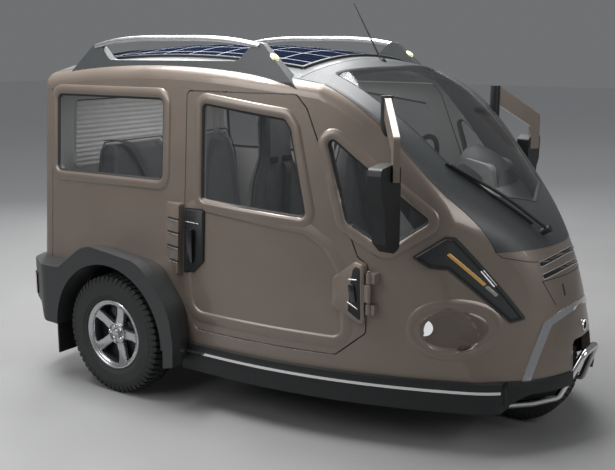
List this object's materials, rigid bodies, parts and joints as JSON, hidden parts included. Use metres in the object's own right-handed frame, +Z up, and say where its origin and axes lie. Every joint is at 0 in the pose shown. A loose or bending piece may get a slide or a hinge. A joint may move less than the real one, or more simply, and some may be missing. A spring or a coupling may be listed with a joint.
{
  "type": "electric tricycle",
  "caption": "Closed three-wheeled electric van with one steered front wheel, side doors, tailgate, roof rails and a solar roof.",
  "frame": {"origin": "on the ground under the middle of the vehicle's length and width", "axes": "+X forwards to the nose, +Y to the vehicle's left, +Z up"},
  "size_m": [2.702, 1.744, 1.8203],
  "materials": {
    "body_paint": "metallic taupe paint",
    "dark_trim": "dark grey moulded plastic",
    "roof_skin": "grey satin plastic",
    "black_plastic": "black textured plastic",
    "chassis": "black satin paint",
    "glass": "clear grey tint",
    "solar": "dark blue cells under glass",
    "bright": "polished",
    "satin_bar": "satin silver",
    "rim_alloy": "machined silver",
    "tyre_rubber": "rubber",
    "lamp_clear": "clear lens",
    "lamp_red": "red lens",
    "seat_fabric": "dark woven fabric",
    "dash_plastic": "light grey soft plastic",
    "rubber_black": "black rubber",
    "motor_metal": "cast housing"
  },
  "bodies": {
    "chassis": {"antenna": "rubber_black", "arch_flares": "dark_trim", "battery_pack": "chassis", "body_shell": "body_paint", "dashboard": "dash_plastic", "door_hinges": "black_plastic", "drive_motor": "motor_metal", "floor_pan": "chassis", "front_bar": "bright", "front_bumper": "black_plastic", "front_frame": "chassis", "front_seats": "seat_fabric", "headlamps": "lamp_clear", "mirror_arms": "body_paint", "mirror_housings": "black_plastic", "mud_flaps": "rubber_black", "nose_cap": "body_paint", "nose_ring": "bright", "nose_trim": "bright", "rail_bars": "satin_bar", "rail_bases": "dark_trim", "rear_axle": "chassis", "rear_bench": "seat_fabric", "rear_bumper": "dark_trim", "roof_lamps": "lamp_clear", "roof_panel": "roof_skin", "screen_surround": "dark_trim", "seat_bases": "black_plastic", "side_glass": "glass", "side_signals": "dark_trim", "sill_skirts": "black_plastic", "sill_strips": "bright", "solar_panel": "solar", "tail_hinges": "black_plastic", "tail_lamps": "lamp_red", "wheel_tubs": "black_plastic", "windscreen": "glass", "wiper": "rubber_black"},
    "door_right": {"door_right": "body_paint", "door_glass_right": "glass", "door_handle_right": "black_plastic"},
    "door_left": {"door_left": "body_paint", "door_glass_left": "glass", "door_handle_left": "black_plastic"},
    "tailgate": {"tailgate": "body_paint", "tailgate_glass": "glass"},
    "steering_wheel": {"steering_wheel": "black_plastic"},
    "fork": {"front_fork": "chassis"},
    "front_wheel": {"front_tyre": "tyre_rubber", "front_rim": "rim_alloy"},
    "rear_wheel_left": {"rear_tyre_left": "tyre_rubber", "rear_rim_left": "rim_alloy"},
    "rear_wheel_right": {"rear_tyre_right": "tyre_rubber", "rear_rim_right": "rim_alloy"}
  },
  "joints": [
    {"name": "door_right_hinge", "type": "hinge", "parent": "chassis", "child": "door_right", "pos_m": [0.619, -0.642, 0.9], "axis": [0, 0, 1], "range_deg": [0, 65]},
    {"name": "door_left_hinge", "type": "hinge", "parent": "chassis", "child": "door_left", "pos_m": [0.619, 0.642, 0.9], "axis": [0, 0, -1], "range_deg": [0, 65]},
    {"name": "tailgate_hinge", "type": "hinge", "parent": "chassis", "child": "tailgate", "pos_m": [-1.314, 0, 1.418], "axis": [0, 1, 0], "range_deg": [0, 80]},
    {"name": "steer", "type": "hinge", "parent": "chassis", "child": "fork", "pos_m": [1.029, 0, 0.245], "axis": [-0.342, 0, 0.9397], "range_deg": [-30, 30]},
    {"name": "front_roll", "type": "hinge", "parent": "fork", "child": "front_wheel", "pos_m": [1.029, 0, 0.245], "axis": [0, 1, 0], "continuous": true},
    {"name": "rear_left_roll", "type": "hinge", "parent": "chassis", "child": "rear_wheel_left", "pos_m": [-0.671, 0.7615, 0.285], "axis": [0, 1, 0], "continuous": true},
    {"name": "rear_right_roll", "type": "hinge", "parent": "chassis", "child": "rear_wheel_right", "pos_m": [-0.671, -0.7615, 0.285], "axis": [0, 1, 0], "continuous": true},
    {"name": "steering_wheel_turn", "type": "hinge", "parent": "chassis", "child": "steering_wheel", "pos_m": [0.314, 0.33, 1.015], "axis": [-0.9511, 0, 0.309], "range_deg": [-240, 240]}
  ],
  "couplings": [
    {"joint": "steering_wheel_turn", "follows": "steer", "ratio": 8}
  ]
}
